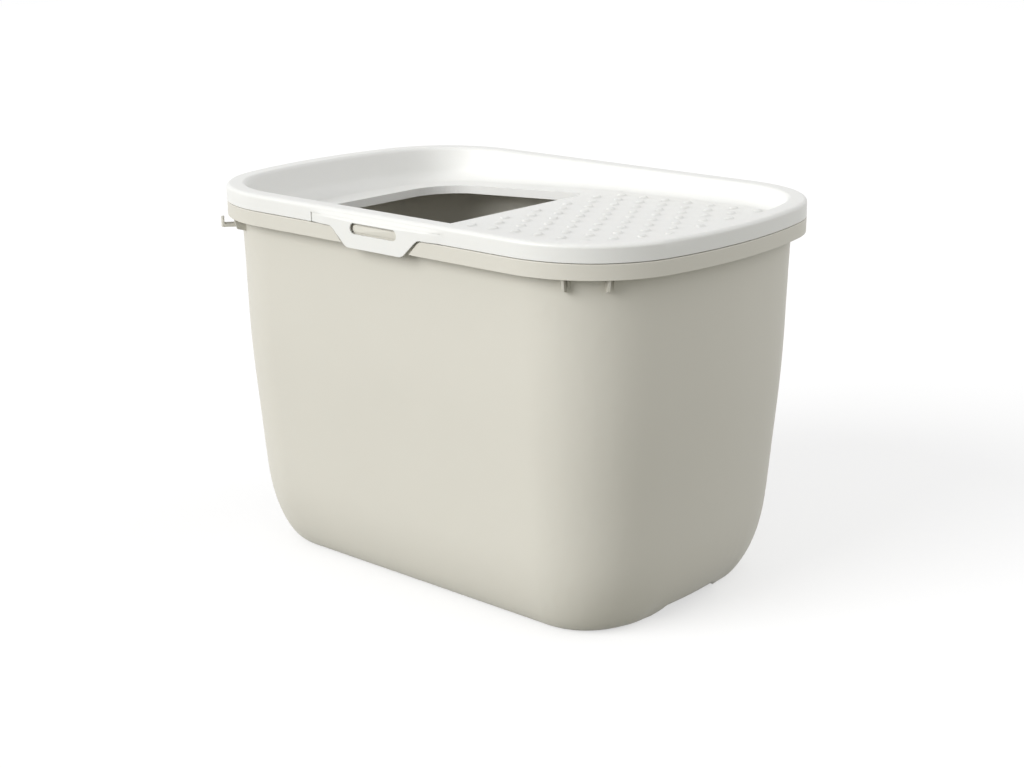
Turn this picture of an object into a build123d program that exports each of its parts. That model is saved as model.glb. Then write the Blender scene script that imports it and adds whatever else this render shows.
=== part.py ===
"""Top entry litter box: a deep tapered tub, a dished lid with an entry hole, and a scoop hook.

Millimetres. The origin is the middle of the underside, +Z is up, +X runs along the length
towards the tread end of the lid, and -Y is the long side that faces the user.
"""
from build123d import *
from math import cos, hypot, radians, sin, sqrt, tan
import os

# ---- Overall size, and the rim band that everything else is set in from ----
length = 585.0
width = 390.0
height = 395.0
corner_radius = 124.0
rim_drop = 34.0
band_height = 16.4
band_skin = 2.2
band_edge_round = 1.2

# ---- Tub wall: set in from the band, narrower at the base, with a big rounded foot ----
wall_setback = 14.1
base_taper = 23.6
wall_bow = 3.6
base_corner_radius = 90.0
foot_height = 82.0
foot_reach = 30.6
tub_skin = 2.5
foot_steps = 6
wall_steps = 3

# ---- Grip arch in the underside of each end, between the corner feet ----
arch_rise = 9.0
arch_top_width = 76.0
arch_side_run = 20.0
arch_depth_in = 85.0
arch_round = 5.0

# ---- Gussets under the band, a pair at each corner ----
gusset_angles = (41.0, 63.0)
gusset_thickness = 2.0
gusset_drop = 12.0
gusset_top_reach = 8.0
gusset_foot_reach = 3.5

# ---- Lid: skirt, lip and dish ----
lid_skin = 2.5
skirt_inset = 1.4
skirt_gap = 0.8
lip_edge_round = 4.0
dish_mouth_inset = 20.0
dish_wall_angle = 78.0
dish_mouth_round = 5.0
dish_floor_round = 18.0
dish_depth = 24.0
floor_fall_to_end = 0.060
floor_rise_to_tread = 0.022
floor_bend_radius = 1500.0

# ---- Entry hole in the lid ----
hole_near_x = 0.0
hole_length = 211.0
hole_width = 248.0
hole_end_radius = 50.0
hole_near_radius = 12.0
collar_depth = 9.0

# ---- Tread: rows of raised drops on a triangular lattice ----
drop_pitch = 28.6
drop_length = 13.0
drop_width = 9.5
drop_height = 1.6
drop_taper = 38.0
drop_seat = 1.0
drop_sides = 10
tread_rows = 12
tread_start_x = 26.3
tread_end_x = 222.0

# ---- Lid tabs, one at the middle of each long side, and the catches they cover ----
tab_proud = 2.0
tab_drop = 1.6
tab_foot_width = 80.0
tab_side_run = 17.0
tab_corner_round = 9.0
tab_shoulder_round = 11.0
tab_shoulder_reach = 30.0
bulge_flat_width = 138.0
bulge_ramp_run = 24.0
bulge_top_margin = 4.0
bulge_slope_drop = 5.5
slot_length = 62.0
slot_height = 9.5
slot_rise = 0.9
catch_setback = 3.9
catch_width = 104.0
catch_gap = 2.0
lug_margin = 1.3
lug_gap = 0.3

# ---- Scoop hook: pushed up into the rim channel between the gussets of one corner ----
hook_gap = 0.3
hook_side_gap = 1.5
hook_leg_thickness = 2.4
hook_leg_drop = 14.0
hook_outer_leg_short = 4.0
hook_arm_width = 12.0
hook_arm_thickness = 3.2
hook_arm_past_rim = 7.0
hook_tip_thickness = 3.0
hook_tip_rise = 7.0
hook_bridge_height = 2.6
hook_tip_round = 2.4

# ---- How far a cutting shape runs past what it cuts ----
overcut = 5.0

# ---- Worked out from the sizes above ----
band_bottom = height - rim_drop
floor_height = height - dish_depth
band_top = band_bottom + band_height
lid_underside = height - lid_skin
catch_top = lid_underside - bulge_top_margin - bulge_slope_drop
skirt_bottom = band_top + skirt_gap
half_length = length / 2
half_width = width / 2
row_pitch = drop_pitch * sqrt(3) / 2
corner_x = half_length - corner_radius
corner_y = half_width - corner_radius


def plan(inset, z, radius=None):
    """The box's rounded rectangle outline, set in from the rim band, at height z."""
    if radius is None:
        radius = corner_radius - inset
    outline = RectangleRounded(length - 2 * inset, width - 2 * inset, radius)
    return Pos(0, 0, z) * outline


def slab(inset, z_low, z_high):
    """The outline at one inset, drawn up from one height to another."""
    return extrude(plan(inset, z_low), z_high - z_low)


def wall_inset(z, skin=0.0):
    """How far a wall face lies inside the band at height z, and its corner radius."""
    rise = z / band_bottom
    inset = wall_setback + base_taper * (1 - rise) - wall_bow * 4 * rise * (1 - rise)
    top_radius = corner_radius - wall_setback
    radius = top_radius + (base_corner_radius - top_radius) * (1 - rise)
    if z < foot_height:
        fall = min(1.0, 1 - (z - skin) / (foot_height - skin))
        rounding = (foot_reach - skin) * (1 - sqrt(1 - fall * fall))
        inset += rounding
        radius -= rounding
    return inset + skin, radius - skin


def wall_solid(skin, top):
    """The tub's outside (skin 0) or the space inside it, lofted through level sections."""
    stations = [
        skin + (foot_height - skin) * (1 - sin(radians(90 * step / foot_steps)))
        for step in range(foot_steps, -1, -1)
    ]
    wall_rise = (band_bottom - foot_height) / wall_steps
    stations += [foot_height + wall_rise * step for step in range(1, wall_steps + 1)]
    stations.append(top)
    sections = []
    for z in stations:
        inset, radius = wall_inset(z, skin)
        sections.append(plan(inset, z, radius))
    return loft(sections)


def arch_cutter(grow):
    """The space under one end, a low arch across Y that runs in from the end along X."""
    half_top = arch_top_width / 2 + grow
    half_foot = half_top + arch_side_run
    top = arch_rise + grow
    below = arch_rise
    outline = Polyline(
        (-half_foot, -below),
        (-half_foot, 0),
        (-half_top, top),
        (half_top, top),
        (half_foot, 0),
        (half_foot, -below),
        close=True,
    )
    face = make_face(Plane.YZ * outline)
    reach = arch_depth_in + wall_inset(0)[0] + grow
    prism = extrude(face, reach, dir=(1, 0, 0))
    inner_end = prism.faces().sort_by(Axis.X)[0]
    crest = prism.edges().filter_by(Axis.X).group_by(Axis.Z)[-1]
    crest += inner_end.edges().group_by(Axis.Z)[-1]
    prism = fillet(crest, arch_round + grow)
    return Pos(half_length - reach, 0, 0) * prism


def both_ends(shape):
    """A shape at the +X end, and its mirror image at the other end."""
    return [shape, mirror(shape, Plane.YZ)]


def both_sides(shape):
    """A shape on the -Y side, and its mirror image on the other side."""
    return [shape, mirror(shape, Plane.XZ)]


def tab_outline(spread, foot, shoulder):
    """The tab's shape seen from the side: a foot that widens up to the skirt's edge."""
    half_foot = tab_foot_width / 2 + spread
    half_neck = half_foot + tab_side_run
    half_top = half_neck + tab_shoulder_reach
    top = shoulder + slot_height
    line = Polyline(
        (-half_top, shoulder),
        (-half_neck, shoulder),
        (-half_foot, foot),
        (half_foot, foot),
        (half_neck, shoulder),
        (half_top, shoulder),
        (half_top, top),
        (-half_top, top),
        close=True,
    )
    face = make_face(line)
    face = fillet(face.vertices().group_by(Axis.Y)[0], tab_corner_round)
    shoulders = face.vertices().group_by(Axis.Y)[-2].sort_by(Axis.X)[1:-1]
    return fillet(shoulders, tab_shoulder_round)


def side_prism(sketch, y_out, depth):
    """A side-view sketch stood up on the -Y side, from y_out inwards by depth."""
    placed = Plane(origin=(0, -y_out, 0), x_dir=(1, 0, 0), z_dir=(0, -1, 0)) * sketch
    return extrude(placed, depth, dir=(0, 1, 0))


def make_catch():
    """The raised block on the ledge behind each tab, hollow from below, with its lug."""
    face_y = half_width + tab_proud - catch_setback
    wall_y = half_width - wall_inset(band_top)[0]
    backing_width = tab_foot_width + 2 * (tab_side_run + tab_shoulder_round)
    backing = Pos(0, -face_y, band_bottom) * Box(
        backing_width, face_y - wall_y, band_height, align=(Align.CENTER, Align.MIN, Align.MIN)
    )
    raised = Pos(0, -face_y, band_bottom) * Box(
        catch_width, face_y - wall_y, catch_top - band_bottom, align=(Align.CENTER, Align.MIN, Align.MIN)
    )
    raised = fillet(raised.edges().group_by(Axis.Z)[-1].sort_by(Axis.Y)[0], band_edge_round)
    hollow_low = Pos(0, -face_y + band_skin, band_bottom) * Box(
        backing_width - 2 * band_skin,
        face_y - wall_y,
        band_height - band_skin,
        align=(Align.CENTER, Align.MIN, Align.MIN),
    )
    hollow_high = Pos(0, -face_y + band_skin, band_bottom) * Box(
        catch_width - 2 * band_skin,
        face_y - wall_y,
        catch_top - band_skin - band_bottom,
        align=(Align.CENTER, Align.MIN, Align.MIN),
    )
    lug_face = half_width + tab_proud - lid_skin - lug_gap
    lug = side_prism(
        Pos(0, band_top + slot_rise) * SlotOverall(slot_length - 2 * lug_margin, slot_height - 2 * lug_margin),
        lug_face,
        lug_face - face_y + band_skin / 2,
    )
    return backing + raised + lug, hollow_low + hollow_high


def make_gussets(outside):
    """Thin plates from the wall to the band, a pair at each corner, tapering below it."""
    plates = []
    wall_radius = corner_radius - wall_setback
    ledge_under = band_top - band_skin
    foot = band_bottom - gusset_drop
    for angle in gusset_angles:
        line = Polyline(
            (wall_radius - 2 * tub_skin, foot),
            (wall_radius + gusset_foot_reach, foot),
            (wall_radius + gusset_top_reach, band_bottom),
            (corner_radius - band_skin / 2, band_bottom),
            (corner_radius - band_skin / 2, ledge_under),
            (wall_radius - 2 * tub_skin, ledge_under),
            close=True,
        )
        plate = extrude(make_face(Plane.XZ * line), gusset_thickness / 2, both=True)
        for side_x in (1, -1):
            for side_y in (1, -1):
                turn = angle * side_y if side_x > 0 else 180 - angle * side_y
                plates.append(Pos(side_x * corner_x, side_y * corner_y, 0) * Rot(0, 0, turn) * plate)
    return [plate - outside for plate in plates]


def make_tub():
    """One moulding: wall, base with its arches, rim channel, catches and gussets."""
    outside = wall_solid(0.0, lid_underside)
    inside = wall_solid(tub_skin, height)
    rim = slab(0, band_bottom, band_top)
    rim = fillet(rim.edges().group_by(Axis.Z)[-1], band_edge_round)
    rim -= slab(band_skin, band_bottom, band_top - band_skin)

    notch_depth = catch_setback - tab_proud
    notch = side_prism(
        tab_outline(catch_gap, band_bottom - tab_drop - catch_gap, band_top),
        half_width + overcut,
        notch_depth + overcut,
    )
    catch, catch_hollow = make_catch()
    rim = rim - both_sides(notch) + both_sides(catch) - both_sides(catch_hollow)

    tub = rim + outside + make_gussets(outside)
    tub -= both_ends(arch_cutter(0))
    cavity = inside - both_ends(arch_cutter(tub_skin))
    return tub - cavity


def floor_z(x):
    """Height of the dish floor at x, leaving out the soft bend beside the hole."""
    slope = floor_rise_to_tread if x > hole_near_x else floor_fall_to_end
    return floor_height + slope * (x - hole_near_x)


def floor_space(lower):
    """Everything above the dish floor, lowered by a given amount, as a long prism along Y."""
    reach = half_length + overcut
    top = height + 2 * overcut
    line = Polyline(
        (-reach, floor_z(-reach) - lower),
        (hole_near_x, floor_z(hole_near_x) - lower),
        (reach, floor_z(reach) - lower),
        (reach, top),
        (-reach, top),
        close=True,
    )
    face = make_face(line)
    bend = [v for v in face.vertices() if abs(v.X) < half_length]
    face = fillet(bend, floor_bend_radius - lower)
    return extrude(Plane.XZ * face, half_width, both=True)


def make_dish(grow):
    """The dish as a solid: grow 0 is the open space, grow = skin is its outer face."""
    top = height + overcut
    bottom = floor_z(-half_length) - 2 * overcut
    run = (height - bottom) / tan(radians(dish_wall_angle))
    back_run = (top - height) / tan(radians(dish_wall_angle))
    inset = dish_mouth_inset - grow
    walls = loft([plan(inset + run, bottom), plan(inset - back_run, top)], ruled=True)
    dish = walls & floor_space(grow)
    floor_edges = [e for f in dish.faces() if f.normal_at(f.center()).Z < -0.9 for e in f.edges()]
    outer_edges = [e for e in floor_edges if sum(e.is_same(other) for other in floor_edges) == 1]
    return fillet(outer_edges, dish_floor_round + grow)


def hole_outline(grow):
    """The entry hole in plan: near-square corners by the tread, large ones at the end."""
    far_x = hole_near_x - hole_length
    face = Pos((hole_near_x + far_x) / 2, 0) * Rectangle(hole_length + 2 * grow, hole_width + 2 * grow)
    by_x = face.vertices().group_by(Axis.X)
    face = fillet(by_x[-1], hole_near_radius + grow)
    return fillet(face.vertices().group_by(Axis.X)[0], hole_end_radius + grow)


def hole_prism(grow):
    """The hole's outline drawn through the whole height of the dish."""
    return extrude(Pos(0, 0, height / 2) * hole_outline(grow), height)


def make_drops():
    """The raised drops of the tread, each a low tapered oval seated in the floor."""
    spread = drop_seat * tan(radians(drop_taper))
    half_w = drop_width / 2 + spread
    half_l = drop_length / 2 + spread
    turns = [radians(360 * side / drop_sides) for side in range(drop_sides)]
    oval = Polyline(*[(half_w * cos(turn), half_l * sin(turn)) for turn in turns], close=True)
    drop = extrude(make_face(oval), drop_height + drop_seat, taper=drop_taper)
    edge_inset = dish_mouth_inset + dish_floor_round + drop_length / 2
    limit_r = corner_radius - edge_inset
    drops = []
    for row in range(tread_rows):
        y = (row - (tread_rows - 1) / 2) * row_pitch
        x = tread_start_x + (drop_pitch / 2 if row % 2 else 0.0)
        while x <= tread_end_x:
            past_x = max(0.0, x - corner_x)
            past_y = max(0.0, abs(y) - corner_y)
            if hypot(past_x, past_y) <= limit_r:
                drops.append(Pos(x, y, floor_z(x) - drop_seat) * drop)
            x += drop_pitch
    return drops


def make_bulge(shrink):
    """The stretch of skirt that stands proud above a tab, ramped at both sides and the top."""
    out_y = half_width + tab_proud - shrink
    skirt_y = half_width - skirt_inset - shrink
    flat = bulge_flat_width / 2 - shrink
    ramp = flat + bulge_ramp_run
    inner = skirt_y - 2 * lid_skin
    top = height - bulge_top_margin - shrink
    slope_foot = top - bulge_slope_drop
    from_above = Polyline(
        (-ramp, -inner),
        (-ramp, -skirt_y),
        (-flat, -out_y),
        (flat, -out_y),
        (ramp, -skirt_y),
        (ramp, -inner),
        close=True,
    )
    block = extrude(Pos(0, 0, skirt_bottom) * make_face(from_above), top - skirt_bottom)
    from_end = Polyline(
        (-inner, skirt_bottom),
        (-out_y, skirt_bottom),
        (-out_y, slope_foot),
        (-skirt_y, top),
        (-inner, top),
        close=True,
    )
    return block & extrude(make_face(Plane.YZ * from_end), ramp, both=True)


def make_lid():
    """One moulding: skirt, lip, sloped dish with its tread, entry hole with collar, two tabs."""
    lid = slab(skirt_inset, skirt_bottom, height)
    lid = fillet(lid.edges().group_by(Axis.Z)[-1], lip_edge_round)
    lid += both_sides(make_bulge(0))
    lid -= slab(skirt_inset + lid_skin, skirt_bottom, lid_underside)
    lid -= both_sides(make_bulge(lid_skin))

    dish_skin = make_dish(lid_skin) & slab(dish_mouth_inset - lid_skin, 0, height - lid_skin / 2)
    lid += dish_skin
    lid -= make_dish(0)
    lip = lid.faces().sort_by(Axis.Z)[-1]
    lid = fillet(lip.inner_wires()[0].edges(), dish_mouth_round)

    tab_out = half_width + tab_proud
    tab = side_prism(tab_outline(0, band_bottom - tab_drop, skirt_bottom), tab_out, lid_skin)
    slot_face = Pos(0, band_top + slot_rise) * SlotOverall(slot_length, slot_height)
    slot = side_prism(slot_face, tab_out + overcut, lid_skin + 2 * overcut)
    lid = lid + both_sides(tab) - both_sides(slot)

    collar = (hole_prism(lid_skin) - hole_prism(0)) & (floor_space(collar_depth) - floor_space(lid_skin / 2))
    lid = lid + collar - hole_prism(0)
    return lid + make_drops()


def make_scoop_hook():
    """Clip with two legs in the rim channel and an arm that turns up past the rim."""
    mid_angle = sum(gusset_angles) / 2
    inner_r = corner_radius - wall_inset(band_top)[0] + hook_gap
    outer_r = corner_radius - band_skin - hook_gap
    half_gap = radians((gusset_angles[1] - gusset_angles[0]) / 2) * inner_r
    body_width = 2 * (half_gap - gusset_thickness / 2 - hook_side_gap)
    ledge_under = band_top - band_skin - hook_gap
    tip_out = corner_radius + hook_arm_past_rim
    arm_low = band_bottom - hook_leg_drop
    arm_high = arm_low + hook_arm_thickness
    bridge_high = band_bottom + hook_bridge_height

    def wedge(r_low, r_high, z_low, z_high, wide):
        ring = Circle(r_high) - Circle(r_low)
        strip = Rectangle(2 * r_high, wide, align=(Align.MIN, Align.CENTER))
        return extrude(Pos(0, 0, z_low) * (ring & strip), z_high - z_low)

    inner_leg = wedge(inner_r, inner_r + hook_leg_thickness, arm_low, ledge_under, body_width)
    bridge = wedge(inner_r, outer_r, band_bottom, bridge_high, body_width)
    outer_leg_top = ledge_under - hook_outer_leg_short
    outer_leg = wedge(outer_r - hook_leg_thickness, outer_r, band_bottom, outer_leg_top, body_width)
    arm = wedge(inner_r, tip_out, arm_low, arm_high, hook_arm_width)
    tip = wedge(tip_out - hook_tip_thickness, tip_out, arm_low, arm_high + hook_tip_rise, hook_arm_width)
    hook = inner_leg + bridge + outer_leg + arm + tip
    hook = fillet(hook.edges().filter_by(Axis.Z).sort_by(Axis.X)[-2:], hook_tip_round)
    return Pos(-corner_x, -corner_y, 0) * Rot(0, 0, 180 + mid_angle) * hook


def save(shape, node):
    """Write one named piece."""
    shape.label = node
    export_step(shape, f"parts/{node}.step")
    print(node, "volume", round(shape.volume), "solids", len(shape.solids()))


os.makedirs("parts", exist_ok=True)
save(make_tub(), "tub")
save(make_lid(), "lid")
save(make_scoop_hook(), "scoop_hook")
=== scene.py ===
"""Looks for a top entry litter box: beige tub and hook, white lid, and a plain pale studio."""
from math import copysign, cos, radians, sin, sqrt

import bmesh
import bpy
from mathutils import Matrix, Vector


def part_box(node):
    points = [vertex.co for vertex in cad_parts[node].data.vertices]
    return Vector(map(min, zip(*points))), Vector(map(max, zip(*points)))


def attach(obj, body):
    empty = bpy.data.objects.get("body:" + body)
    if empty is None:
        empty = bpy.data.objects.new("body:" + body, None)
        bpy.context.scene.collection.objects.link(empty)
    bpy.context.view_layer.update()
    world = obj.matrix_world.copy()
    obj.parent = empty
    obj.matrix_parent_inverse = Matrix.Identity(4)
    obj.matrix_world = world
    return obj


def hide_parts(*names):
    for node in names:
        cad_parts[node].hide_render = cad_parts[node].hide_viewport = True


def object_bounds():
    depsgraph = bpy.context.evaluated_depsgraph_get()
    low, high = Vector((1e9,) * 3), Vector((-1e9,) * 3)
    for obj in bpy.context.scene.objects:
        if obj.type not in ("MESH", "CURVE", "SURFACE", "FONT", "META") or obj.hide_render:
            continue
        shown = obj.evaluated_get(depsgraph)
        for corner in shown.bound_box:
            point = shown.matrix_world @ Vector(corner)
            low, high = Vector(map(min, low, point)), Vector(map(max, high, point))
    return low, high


bl_info = {
    "name": "Top Entry Litter Box Looks",
    "version": (1, 0, 0),
    "blender": (4, 5, 0),
    "location": "3D View > Sidebar > Litter Box",
    "description": "Moulded plastic finishes, a soft studio and a camera for a top entry litter box",
    "category": "Material",
}

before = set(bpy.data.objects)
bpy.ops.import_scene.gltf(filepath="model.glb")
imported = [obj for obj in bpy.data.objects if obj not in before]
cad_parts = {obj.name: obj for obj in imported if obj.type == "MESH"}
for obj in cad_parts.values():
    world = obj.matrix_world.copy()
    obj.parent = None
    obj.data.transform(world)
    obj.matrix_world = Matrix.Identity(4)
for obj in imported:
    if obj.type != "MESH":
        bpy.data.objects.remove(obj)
CAD_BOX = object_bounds()

MM = 0.001
WHITE = (1.0, 1.0, 1.0, 1.0)
FLOOR_GAP = 0.2 * MM

# Faces that meet at a steeper angle keep a sharp edge between them.
SHARP_ANGLE = radians(28)

# Points nearer than this are one point: in the frame's meshes, and once they are moved.
MERGE = 0.001 * MM
MERGE_MOVED = 0.02 * MM


def linear(hex_colour):
    """An sRGB hex colour, such as d9d6cd, as linear red, green and blue."""
    channels = [int(hex_colour[at:at + 2], 16) / 255 for at in (0, 2, 4)]
    return tuple(c / 12.92 if c <= 0.04045 else ((c + 0.055) / 1.055) ** 2.4 for c in channels)


def add_node(tree, kind, links=(), **settings):
    """Adds one node, sets its values and inputs, and links (input, source node, output) to it.

    A setting that names an input sets that socket, and any other sets the node itself.
    """
    node = tree.nodes.new(kind)
    for name, value in settings.items():
        if hasattr(node, name):
            setattr(node, name, value)
        else:
            node.inputs[name.replace("_", " ")].default_value = value
    for name, source, output in links:
        tree.links.new(source.outputs[output], node.inputs[name])
    return node


def new_material(name):
    """An empty node material with its output node."""
    material = bpy.data.materials.new(name)
    material.use_nodes = True
    material.node_tree.nodes.clear()
    return material


def moulded_polypropylene(name, colour, roughness, finish):
    """Injection moulded polypropylene: an opaque waxy plastic off a spark-eroded mould.

    The mould leaves a fine even grain that softens highlights, the cooling wall draws in by a
    few hundredths of a millimetre over a palm's width, and the pigment is mixed a little
    unevenly, so both the tone and the gloss drift slowly over a large wall.
    """
    material = new_material(name)
    tree = material.node_tree
    place = add_node(tree, "ShaderNodeTexCoord")
    drift = add_node(
        tree, "ShaderNodeTexNoise", [("Vector", place, "Object")],
        Scale=1 / finish.drift_size, Detail=3.0, Roughness=0.5,
    )
    grain = add_node(
        tree, "ShaderNodeTexNoise", [("Vector", place, "Object")],
        Scale=1 / finish.grain_size, Detail=2.0, Roughness=0.6,
    )
    draw_in = add_node(
        tree, "ShaderNodeTexNoise", [("Vector", place, "Object")],
        Scale=1 / finish.draw_in_size, Detail=1.0, Roughness=0.4,
    )
    tone = add_node(
        tree, "ShaderNodeMapRange", [("Value", drift, "Fac")],
        To_Min=1 - finish.tone_drift, To_Max=1 + finish.tone_drift,
    )
    pigment = add_node(
        tree, "ShaderNodeVectorMath", [("Scale", tone, "Result")],
        operation="SCALE", Vector=colour,
    )
    gloss = add_node(
        tree, "ShaderNodeMapRange", [("Value", drift, "Fac")],
        To_Min=roughness - finish.gloss_drift, To_Max=roughness + finish.gloss_drift,
    )
    wall = add_node(
        tree, "ShaderNodeBump", [("Height", draw_in, "Fac")],
        Strength=1.0, Distance=finish.draw_in_depth,
    )
    skin = add_node(
        tree, "ShaderNodeBump", [("Height", grain, "Fac"), ("Normal", wall, "Normal")],
        Strength=1.0, Distance=finish.grain_depth,
    )
    plastic = add_node(
        tree, "ShaderNodeBsdfPrincipled",
        [("Base Color", pigment, "Vector"), ("Roughness", gloss, "Result"), ("Normal", skin, "Normal")],
        IOR=1.49, Subsurface_Weight=0.08, Subsurface_Scale=1.2 * MM, Subsurface_Radius=(1.0, 0.9, 0.8),
    )
    add_node(tree, "ShaderNodeOutputMaterial", [("Surface", plastic, "BSDF")])
    return material


class LitterBoxFinish(bpy.types.PropertyGroup):
    """Colours and surface of the moulded pieces."""

    tub_colour: bpy.props.FloatVectorProperty(
        name="Tub colour", description="Pigment of the tub and the hook",
        subtype="COLOR", size=3, min=0.0, max=1.0, default=linear("d3d0c6"),
    )
    lid_colour: bpy.props.FloatVectorProperty(
        name="Lid colour", description="Pigment of the lid",
        subtype="COLOR", size=3, min=0.0, max=1.0, default=linear("e6e6e3"),
    )
    tub_roughness: bpy.props.FloatProperty(
        name="Tub roughness", description="Satin of the tub and the hook", min=0.0, max=1.0, default=0.48,
    )
    lid_roughness: bpy.props.FloatProperty(
        name="Lid roughness", description="Satin of the lid", min=0.0, max=1.0, default=0.4,
    )
    grain_size: bpy.props.FloatProperty(
        name="Grain size", description="Width of the mould's grain, drawn coarser than real to show",
        unit="LENGTH", precision=5, min=0.0002, default=1.6 * MM,
    )
    grain_depth: bpy.props.FloatProperty(
        name="Grain depth", description="Height of the mould's grain",
        unit="LENGTH", precision=6, min=0.0, default=0.012 * MM,
    )
    draw_in_size: bpy.props.FloatProperty(
        name="Draw-in size", description="Width of the shallow waves that cooling leaves in a wall",
        unit="LENGTH", min=0.01, default=110 * MM,
    )
    draw_in_depth: bpy.props.FloatProperty(
        name="Draw-in depth", description="Depth of the waves that cooling leaves in a wall",
        unit="LENGTH", precision=5, min=0.0, default=0.25 * MM,
    )
    drift_size: bpy.props.FloatProperty(
        name="Drift size", description="Width of the slow changes of tone and gloss",
        unit="LENGTH", min=0.01, default=90 * MM,
    )
    tone_drift: bpy.props.FloatProperty(
        name="Tone drift", description="Share by which the pigment's tone changes",
        min=0.0, max=0.2, default=0.012,
    )
    gloss_drift: bpy.props.FloatProperty(
        name="Gloss drift", description="Amount by which the roughness changes",
        min=0.0, max=0.2, default=0.04,
    )


class LitterBoxStudio(bpy.types.PropertyGroup):
    """Floor, lamps and camera."""

    floor_size: bpy.props.FloatProperty(
        name="Floor size", description="Side of the square floor", unit="LENGTH", min=1.0, default=14.0,
    )
    floor_colour: bpy.props.FloatVectorProperty(
        name="Floor colour", description="Paint of the studio floor",
        subtype="COLOR", size=3, min=0.0, max=1.0, default=linear("b8b8b8"),
    )
    floor_lift: bpy.props.FloatProperty(
        name="Floor lift", description="Light added to the floor where the camera sees it",
        min=0.0, max=1.0, default=0.58,
    )
    floor_bounce: bpy.props.FloatVectorProperty(
        name="Floor bounce", description="Paint of the floor as far as it lights the box from below",
        subtype="COLOR", size=3, min=0.0, max=1.0, default=linear("949489"),
    )
    sky_strength: bpy.props.FloatProperty(
        name="Sky strength", description="Even light from all round", min=0.0, max=2.0, default=0.56,
    )
    key_strength: bpy.props.FloatProperty(
        name="Key strength", description="Wide soft light from the front left", min=0.0, default=2.42,
    )
    key_azimuth: bpy.props.FloatProperty(
        name="Key azimuth", description="Where the key comes from, round from the front to the right",
        unit="ROTATION", default=radians(-19),
    )
    key_elevation: bpy.props.FloatProperty(
        name="Key elevation", description="Height of the key above the horizon",
        unit="ROTATION", default=radians(25),
    )
    key_spread: bpy.props.FloatProperty(
        name="Key spread", description="Angle that the key fills", unit="ROTATION", default=radians(40),
    )
    fill_strength: bpy.props.FloatProperty(
        name="Fill strength", description="Weak wide light from the right, behind", min=0.0, default=0.72,
    )
    fill_azimuth: bpy.props.FloatProperty(
        name="Fill azimuth", description="Where the fill comes from, round from the front to the right",
        unit="ROTATION", default=radians(130),
    )
    fill_elevation: bpy.props.FloatProperty(
        name="Fill elevation", description="Height of the fill above the horizon",
        unit="ROTATION", default=radians(25),
    )
    fill_spread: bpy.props.FloatProperty(
        name="Fill spread", description="Angle that the fill covers", unit="ROTATION", default=radians(60),
    )
    azimuth: bpy.props.FloatProperty(
        name="Azimuth", description="Camera direction round the box, from the front towards the right",
        unit="ROTATION", default=radians(41.06),
    )
    elevation: bpy.props.FloatProperty(
        name="Elevation", description="Camera height above the horizon",
        unit="ROTATION", default=radians(16.34),
    )
    roll: bpy.props.FloatProperty(
        name="Roll", description="Camera tilt about its own line of sight",
        unit="ROTATION", default=radians(-0.23),
    )
    distance: bpy.props.FloatProperty(
        name="Distance", description="From the camera to the point it looks at",
        unit="LENGTH", min=0.1, default=1829.3 * MM,
    )
    target: bpy.props.FloatVectorProperty(
        name="Target", description="Point that the camera looks at", subtype="TRANSLATION",
        unit="LENGTH", size=3, default=(36.18 * MM, -38.39 * MM, 200.49 * MM),
    )
    focal_length: bpy.props.FloatProperty(
        name="Focal length", description="Lens in millimetres on a sensor 36 mm wide",
        min=1.0, default=62.7,
    )


class LitterBoxShape(bpy.types.PropertyGroup):
    """Where the real mouldings leave the straight-ended outline that the frame has."""

    end_bow: bpy.props.FloatProperty(
        name="End bow", description="Radius to which the two short ends are bowed",
        unit="LENGTH", min=0.3, default=520 * MM,
    )
    corner_radius: bpy.props.FloatProperty(
        name="Corner radius", description="Radius of the bowed outline's corners",
        unit="LENGTH", min=0.05, max=0.15, default=113.5 * MM,
    )
    band_lift: bpy.props.FloatProperty(
        name="Band lift", description="How much higher the rim band's lower edge lies",
        unit="LENGTH", precision=4, min=0.0, default=1.7 * MM,
    )
    hook_lift: bpy.props.FloatProperty(
        name="Hook lift", description="How much higher the hook's arm lies",
        unit="LENGTH", precision=4, min=0.0, default=2.5 * MM,
    )
    arch_lift: bpy.props.FloatProperty(
        name="Arch lift", description="How much higher the arch under each end rises",
        unit="LENGTH", precision=4, min=0.0, default=3.0 * MM,
    )
    skirt_growth: bpy.props.FloatProperty(
        name="Skirt growth", description="How much further out the lid's skirt lies, flush with the band",
        unit="LENGTH", precision=4, min=0.0, default=1.3 * MM,
    )
    slot_growth: bpy.props.FloatProperty(
        name="Slot growth", description="How many times taller the slot in a tab is", min=1.0, default=1.12,
    )
    slot_lift: bpy.props.FloatProperty(
        name="Slot lift", description="How much higher the slot in a tab lies",
        unit="LENGTH", precision=4, default=0.5 * MM,
    )
    tab_narrowing: bpy.props.FloatProperty(
        name="Tab narrowing", description="How much each side of a tab's foot is drawn in",
        unit="LENGTH", precision=4, default=2.2 * MM,
    )
    gusset_setback: bpy.props.FloatProperty(
        name="Gusset setback",
        description="From the band's face in to the gusset, at the band's lower edge",
        unit="LENGTH", precision=4, min=0.0, default=2.4 * MM,
    )
    gusset_foot_setback: bpy.props.FloatProperty(
        name="Gusset foot setback", description="From the band's face in to the gusset's foot",
        unit="LENGTH", precision=4, min=0.0, default=5.5 * MM,
    )
    gusset_foot: bpy.props.FloatProperty(
        name="Gusset foot", description="Height of the gusset's outer foot",
        unit="LENGTH", default=351 * MM,
    )
    gusset_slant: bpy.props.FloatProperty(
        name="Gusset slant", description="How much lower the gusset's foot is at the wall",
        unit="LENGTH", precision=4, default=3.4 * MM,
    )
    gusset_thickness: bpy.props.FloatProperty(
        name="Gusset thickness", description="Thickness of a gusset", unit="LENGTH", precision=4,
        default=2.4 * MM,
    )


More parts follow.
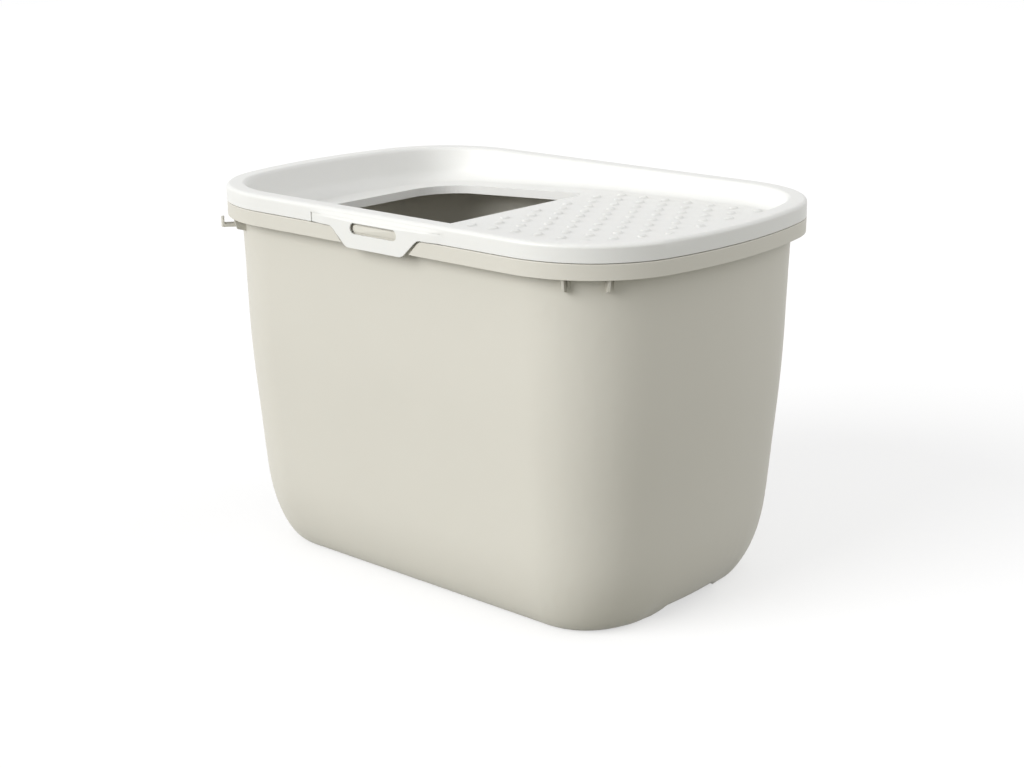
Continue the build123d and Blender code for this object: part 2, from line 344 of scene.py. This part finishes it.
# ---- The frame's outline: straight sides and ends, with round corners ----
HALF_LENGTH = CAD_BOX[1].x
HALF_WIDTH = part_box("tub")[1].y
FRAME_CORNER = 124 * MM
STRAIGHT = 1000.0
EDGE_MARGIN = 0.01 * MM
BAND_BOTTOM = 361 * MM
BAND_TOP = 377.4 * MM

# ---- The ends: how far along X the bow sets in and is whole, and how often the ends are cut ----
TUB_BOW = (150 * MM, 240 * MM)
LID_BOW = (215 * MM, 270 * MM)
BOW_CUTS = 5

# ---- Heights over which the lifts of the band and the hook fade in or out ----
BAND_FADE = (BAND_BOTTOM - 40 * MM, BAND_BOTTOM)
HOOK_FADE = (BAND_BOTTOM - 8 * MM, BAND_TOP - 4 * MM)

# ---- The arch under each end: its height, and where its lift fades along X, Y and Z ----
ARCH_RISE = 9 * MM
ARCH_ALONG = (120 * MM, 140 * MM)
ARCH_ACROSS = (60 * MM, 80 * MM)
ARCH_FADE = (ARCH_RISE, 45 * MM)

# ---- The frame's own gussets, by height and by reach from the corner's centre ----
WALL_OUT = 109.9 * MM
BAND_IN = 121.8 * MM
GUSSET_HEIGHTS = (BAND_BOTTOM - 15 * MM, BAND_BOTTOM + 0.1 * MM)
GUSSET_REACHES = (WALL_OUT + MM, BAND_IN - MM)
TUCK = 12.5 * MM

# ---- The gussets of this scene: depth, how far they stand up into the rim, and directions ----
GUSSET_DEPTH = 17.5 * MM
GUSSET_TOP = 4 * MM
GUSSET_ANGLES = (radians(42.3), radians(64))

# ---- The lid's skirt, and the tabs with the stretch of skirt above them ----
SKIRT_INSET = 1.4 * MM
SKIRT_DEPTH = 12 * MM
TAB_IN = HALF_WIDTH - 5 * MM
TAB_FACE = 197 * MM
TAB_PROUD = TAB_FACE - HALF_WIDTH + SKIRT_INSET
RAMP_START = 69 * MM
RAMP_END = 93 * MM
SLOPE_FOOT = 385.5 * MM
SLOPE_TOP = 391 * MM
SLOT_CENTRE = 378.3 * MM
SLOT_HALF_LENGTH = 32 * MM
SLOT_HALF_HEIGHT = 6 * MM


def ease(value, low, high):
    """0 below low, 1 above high, and a smooth rise between them."""
    share = min(1.0, max(0.0, (value - low) / (high - low)))
    return share * share * (3 - 2 * share)


def corner_centre(corner, bow):
    """The centre of an outline's corner, from its radius and the radius of the end's bow."""
    centre_y = HALF_WIDTH - corner
    return HALF_LENGTH - bow + sqrt((bow - corner) ** 2 - centre_y ** 2), centre_y


def end_reach(y, corner, bow):
    """How far along X an outline reaches at y, from its corner radius and its end's bow."""
    y = min(abs(y), HALF_WIDTH - EDGE_MARGIN)
    centre_x, centre_y = corner_centre(corner, bow)
    if y < centre_y * bow / (bow - corner):
        return HALF_LENGTH - bow + sqrt(bow ** 2 - y ** 2)
    return centre_x + sqrt(corner ** 2 - (y - centre_y) ** 2)


def bow_ends(place, shape, low, high):
    """Draws a point near an end in, to the bowed outline."""
    straight = end_reach(place.y, FRAME_CORNER, STRAIGHT)
    bowed = end_reach(place.y, shape.corner_radius, shape.end_bow)
    place.x -= copysign((straight - bowed) * ease(abs(place.x), low, high), place.x)


def lift_band(place, shape):
    """Raises the band's lower edge, and what hangs below it by less and less."""
    below = ease(place.z, *BAND_FADE)
    above = 1 - min(1.0, max(0.0, (place.z - BAND_BOTTOM) / (BAND_TOP - BAND_BOTTOM)))
    place.z += shape.band_lift * below * above


def past_corner(place):
    """How far a point lies past the centre of its corner's round, along X and along Y."""
    return Vector((
        max(0.0, abs(place.x) - (HALF_LENGTH - FRAME_CORNER)),
        max(0.0, abs(place.y) - (HALF_WIDTH - FRAME_CORNER)),
    ))


def shape_tub(place, shape):
    """The tub: bowed ends, a slimmer band, higher arches, and room for the gussets' own piece."""
    past = past_corner(place)
    under_rim = GUSSET_HEIGHTS[0] < place.z < GUSSET_HEIGHTS[1]
    if under_rim and min(past) > 0 and GUSSET_REACHES[0] < past.length < GUSSET_REACHES[1]:
        place.z += TUCK
    near_arch = ease(abs(place.x), *ARCH_ALONG) * (1 - ease(abs(place.y), *ARCH_ACROSS))
    rise = place.z / ARCH_RISE if place.z < ARCH_RISE else 1 - ease(place.z, *ARCH_FADE)
    place.z += shape.arch_lift * near_arch * max(0.0, rise)
    lift_band(place, shape)
    bow_ends(place, shape, *TUB_BOW)


def shape_hook(place, shape):
    """The hook: it follows the corner, and its arm sits higher below the band."""
    place.z += shape.hook_lift * (1 - ease(place.z, *HOOK_FADE))
    bow_ends(place, shape, *TUB_BOW)


def shape_lid(place, shape):
    """The lid: bowed ends, a skirt that is flush with the band, and tabs that run into it."""
    past = past_corner(place)
    if abs(place.y) > TAB_IN:
        if abs(place.x) < SLOT_HALF_LENGTH and abs(place.z - SLOT_CENTRE) < SLOT_HALF_HEIGHT:
            place.z = SLOT_CENTRE + shape.slot_lift + (place.z - SLOT_CENTRE) * shape.slot_growth
        foot = 1 - ease(place.z, BAND_BOTTOM, BAND_TOP)
        place.x -= copysign(min(abs(place.x), shape.tab_narrowing) * foot, place.x)
        side = (abs(place.x) - RAMP_START) / (RAMP_END - RAMP_START)
        slope = (place.z - SLOPE_FOOT) / (SLOPE_TOP - SLOPE_FOOT)
        fall = TAB_PROUD * min(1.0, max(0.0, side, slope))
        place.y = copysign(min(abs(place.y), TAB_FACE - fall), place.y)
    if past.length > 0:
        depth = FRAME_CORNER - SKIRT_INSET - past.length
        share = 1 - ease(depth, 0, SKIRT_DEPTH) if depth > 0 else max(0.0, 1 + depth / TAB_PROUD)
        push = past.normalized() * shape.skirt_growth * share
        place.x += copysign(push.x, place.x)
        place.y += copysign(push.y, place.y)
    bow_ends(place, shape, *LID_BOW)


def cut(outline, place, normal):
    """Cuts a mesh along a plane, so that it has points there to move."""
    bmesh.ops.bisect_plane(
        outline, geom=outline.verts[:] + outline.edges[:] + outline.faces[:], dist=MERGE,
        plane_co=place, plane_no=normal,
    )


def cut_ends(outline):
    """Cuts a mesh across its flat ends, for the bow."""
    for step in range(1 - BOW_CUTS, BOW_CUTS):
        cut(outline, (0, step * (HALF_WIDTH - FRAME_CORNER) / BOW_CUTS, 0), (0, 1, 0))


def cut_bulge(outline):
    """Cuts the lid where the stretch of skirt above a tab starts to fall back."""
    for x in (-RAMP_START, RAMP_START):
        cut(outline, (x, 0, 0), (1, 0, 0))
    cut(outline, (0, 0, SLOPE_FOOT), (0, 0, 1))


def dressed_copy(node, name, body, move, shape, material):
    """A copy of one of the frame's pieces, brought to the real outline, that stands for it."""
    outline = bmesh.new()
    outline.from_mesh(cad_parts[node].data)
    bmesh.ops.remove_doubles(outline, verts=outline.verts, dist=MERGE)
    cut_ends(outline)
    if node == "lid":
        cut_bulge(outline)
    for vertex in outline.verts:
        move(vertex.co, shape)
    bmesh.ops.remove_doubles(outline, verts=outline.verts, dist=MERGE_MOVED)
    bmesh.ops.dissolve_degenerate(outline, edges=outline.edges, dist=MERGE_MOVED)
    piece = finished_piece(outline, name, body, material)
    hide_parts(node)


def finished_piece(outline, name, body, material):
    """Writes a bmesh to an object that rides on a body, smooth over its rounds and sharp at its edges."""
    mesh = bpy.data.meshes.new(name)
    outline.to_mesh(mesh)
    outline.free()
    mesh.materials.append(material)
    mesh.shade_smooth()
    mesh.set_sharp_from_angle(angle=SHARP_ANGLE)
    piece = bpy.data.objects.new(name, mesh)
    bpy.context.scene.collection.objects.link(piece)
    even = piece.modifiers.new("even_shading", "WEIGHTED_NORMAL")
    even.keep_sharp = True
    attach(piece, body)
    return piece


def beige_plastic(finish):
    """The tub's and the hook's plastic, made once."""
    name = "moulded_polypropylene_beige"
    return bpy.data.materials.get(name) or moulded_polypropylene(
        name, finish.tub_colour, finish.tub_roughness, finish,
    )


class LITTERBOX_OT_build_tub(bpy.types.Operator):
    """Build the tub and its hook in satin beige moulded plastic"""

    bl_idname = "litterbox.build_tub"
    bl_label = "Build Tub"

    def execute(self, context):
        shape = context.scene.litter_box_shape
        material = beige_plastic(context.scene.litter_box_finish)
        dressed_copy("tub", "moulded_tub", "tub", shape_tub, shape, material)
        dressed_copy("scoop_hook", "moulded_hook", "tub", shape_hook, shape, material)
        return {"FINISHED"}


class LITTERBOX_OT_build_gussets(bpy.types.Operator):
    """Build the gussets under the rim, a pair at each corner"""

    bl_idname = "litterbox.build_gussets"
    bl_label = "Build Gussets"

    def execute(self, context):
        shape = context.scene.litter_box_shape
        band = shape.corner_radius
        wall = band - GUSSET_DEPTH
        low_edge = BAND_BOTTOM + shape.band_lift
        top = low_edge + GUSSET_TOP
        profile = (
            (wall, shape.gusset_foot - shape.gusset_slant),
            (band - shape.gusset_foot_setback, shape.gusset_foot),
            (band - shape.gusset_setback, low_edge),
            (band - shape.gusset_setback, top),
            (wall, top),
        )
        plates = bmesh.new()
        for angle in GUSSET_ANGLES:
            side = [
                plates.verts.new((reach, -shape.gusset_thickness / 2, height)) for reach, height in profile
            ]
            grown = bmesh.ops.extrude_face_region(plates, geom=[plates.faces.new(side)])
            moved = [part for part in grown["geom"] if isinstance(part, bmesh.types.BMVert)]
            bmesh.ops.translate(plates, verts=moved, vec=(0, shape.gusset_thickness, 0))
            bmesh.ops.rotate(plates, verts=side + moved, matrix=Matrix.Rotation(angle, 3, "Z"))
        centre = corner_centre(band, shape.end_bow)
        bmesh.ops.translate(plates, verts=plates.verts, vec=(*centre, 0))
        for axis in ("X", "Y"):
            bmesh.ops.mirror(plates, geom=plates.faces[:] + plates.edges[:] + plates.verts[:], axis=axis)
        bmesh.ops.recalc_face_normals(plates, faces=plates.faces)
        material = beige_plastic(context.scene.litter_box_finish)
        finished_piece(plates, "rim_gussets", "tub", material)
        return {"FINISHED"}


class LITTERBOX_OT_build_lid(bpy.types.Operator):
    """Build the lid in satin white moulded plastic"""

    bl_idname = "litterbox.build_lid"
    bl_label = "Build Lid"

    def execute(self, context):
        finish = context.scene.litter_box_finish
        material = moulded_polypropylene(
            "moulded_polypropylene_white", finish.lid_colour, finish.lid_roughness, finish,
        )
        shape = context.scene.litter_box_shape
        dressed_copy("lid", "moulded_lid", "lid", shape_lid, shape, material)
        return {"FINISHED"}


def seen_rays(tree):
    """1 on the rays that show the background: to the camera, and through gloss or glass."""
    path = add_node(tree, "ShaderNodeLightPath")
    mirrored = add_node(
        tree, "ShaderNodeMath", [(0, path, "Is Camera Ray"), (1, path, "Is Glossy Ray")],
        operation="MAXIMUM",
    )
    return add_node(
        tree, "ShaderNodeMath", [(0, mirrored, "Value"), (1, path, "Is Transmission Ray")],
        operation="MAXIMUM",
    )


def add_floor(studio):
    """A white floor that throws less light up than it shows, and keeps the box's shadow."""
    shape = bmesh.new()
    bmesh.ops.create_grid(shape, x_segments=1, y_segments=1, size=studio.floor_size / 2)
    bmesh.ops.translate(shape, vec=(0, 0, CAD_BOX[0].z - FLOOR_GAP), verts=shape.verts)
    mesh = bpy.data.meshes.new("studio_floor")
    shape.to_mesh(mesh)
    shape.free()
    floor = bpy.data.objects.new("studio_floor", mesh)
    bpy.context.scene.collection.objects.link(floor)

    material = new_material("painted_studio_floor")
    tree = material.node_tree
    rays = seen_rays(tree)
    paint = add_node(tree, "ShaderNodeBsdfDiffuse", Color=(*studio.floor_colour, 1.0))
    bounce = add_node(tree, "ShaderNodeBsdfDiffuse", Color=(*studio.floor_bounce, 1.0))
    lift = add_node(tree, "ShaderNodeEmission", Strength=studio.floor_lift)
    seen = add_node(tree, "ShaderNodeAddShader", [(0, paint, "BSDF"), (1, lift, "Emission")])
    surface = add_node(
        tree, "ShaderNodeMixShader", [(0, rays, "Value"), (1, bounce, "BSDF"), (2, seen, "Shader")],
    )
    add_node(tree, "ShaderNodeOutputMaterial", [("Surface", surface, "Shader")])
    mesh.materials.append(material)


def add_sky(studio):
    """White where the camera or a reflection sees it, and a plain soft light otherwise."""
    sky = bpy.data.worlds.new("studio_sky")
    sky.use_nodes = True
    tree = sky.node_tree
    tree.nodes.clear()
    rays = seen_rays(tree)
    soft = add_node(tree, "ShaderNodeBackground", Strength=studio.sky_strength)
    white = add_node(tree, "ShaderNodeBackground", Strength=1.0)
    for light in (soft, white):
        light.inputs["Color"].default_value = WHITE
    surface = add_node(
        tree, "ShaderNodeMixShader",
        [(0, rays, "Value"), (1, soft, "Background"), (2, white, "Background")],
    )
    add_node(tree, "ShaderNodeOutputWorld", [("Surface", surface, "Shader")])
    bpy.context.scene.world = sky


def look_at(place, target, roll=0.0):
    """The transform of a lamp or camera at one point that faces another."""
    turn = (target - place).to_track_quat("-Z", "Y").to_matrix().to_4x4()
    return Matrix.Translation(place) @ turn @ Matrix.Rotation(roll, 4, "Z")


def direction(azimuth, elevation):
    """The unit vector out to a light or camera, round from the front to the right, and up."""
    return Vector((sin(azimuth) * cos(elevation), -cos(azimuth) * cos(elevation), sin(elevation)))


def add_lamp(name, azimuth, elevation, spread, strength):
    """A wide soft light from far off, so that floor and box are lit evenly."""
    lamp = bpy.data.lights.new(name, "SUN")
    lamp.angle = spread
    lamp.energy = strength
    holder = bpy.data.objects.new(name, lamp)
    holder.matrix_world = look_at(direction(azimuth, elevation), Vector())
    bpy.context.scene.collection.objects.link(holder)


class LITTERBOX_OT_build_studio(bpy.types.Operator):
    """Build the floor, the sky, the lamps and the camera"""

    bl_idname = "litterbox.build_studio"
    bl_label = "Build Studio"

    def execute(self, context):
        studio = context.scene.litter_box_studio
        add_floor(studio)
        add_sky(studio)
        add_lamp(
            "key_light", studio.key_azimuth, studio.key_elevation, studio.key_spread, studio.key_strength,
        )
        add_lamp(
            "fill_light", studio.fill_azimuth, studio.fill_elevation, studio.fill_spread,
            studio.fill_strength,
        )

        target = Vector(studio.target)
        away = direction(studio.azimuth, studio.elevation)
        lens = bpy.data.cameras.new("photo_camera")
        lens.lens = studio.focal_length
        camera = bpy.data.objects.new("photo_camera", lens)
        camera.matrix_world = look_at(target + away * studio.distance, target, studio.roll)
        context.scene.collection.objects.link(camera)
        context.scene.camera = camera
        context.scene.view_settings.view_transform = "Standard"
        return {"FINISHED"}


class LITTERBOX_PT_panel(bpy.types.Panel):
    """Lists the shape, the finishes and the studio"""

    bl_idname = "LITTERBOX_PT_panel"
    bl_label = "Litter Box"
    bl_space_type = "VIEW_3D"
    bl_region_type = "UI"
    bl_category = "Litter Box"

    def draw(self, context):
        scene = context.scene
        for group in (scene.litter_box_shape, scene.litter_box_finish, scene.litter_box_studio):
            column = self.layout.column(align=True)
            for name in group.__annotations__:
                column.prop(group, name)
        self.layout.operator("litterbox.build_tub")
        self.layout.operator("litterbox.build_gussets")
        self.layout.operator("litterbox.build_lid")
        self.layout.operator("litterbox.build_studio")


CLASSES = (
    LitterBoxShape,
    LitterBoxFinish,
    LitterBoxStudio,
    LITTERBOX_OT_build_tub,
    LITTERBOX_OT_build_gussets,
    LITTERBOX_OT_build_lid,
    LITTERBOX_OT_build_studio,
    LITTERBOX_PT_panel,
)


def register():
    for entry in CLASSES:
        bpy.utils.register_class(entry)
    bpy.types.Scene.litter_box_shape = bpy.props.PointerProperty(type=LitterBoxShape)
    bpy.types.Scene.litter_box_finish = bpy.props.PointerProperty(type=LitterBoxFinish)
    bpy.types.Scene.litter_box_studio = bpy.props.PointerProperty(type=LitterBoxStudio)


def unregister():
    del bpy.types.Scene.litter_box_studio
    del bpy.types.Scene.litter_box_finish
    del bpy.types.Scene.litter_box_shape
    for entry in reversed(CLASSES):
        bpy.utils.unregister_class(entry)


def main():
    """Registers the add-on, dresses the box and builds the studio."""
    register()
    bpy.ops.litterbox.build_tub()
    bpy.ops.litterbox.build_gussets()
    bpy.ops.litterbox.build_lid()
    bpy.ops.litterbox.build_studio()


if __name__ == "__main__":
    main()
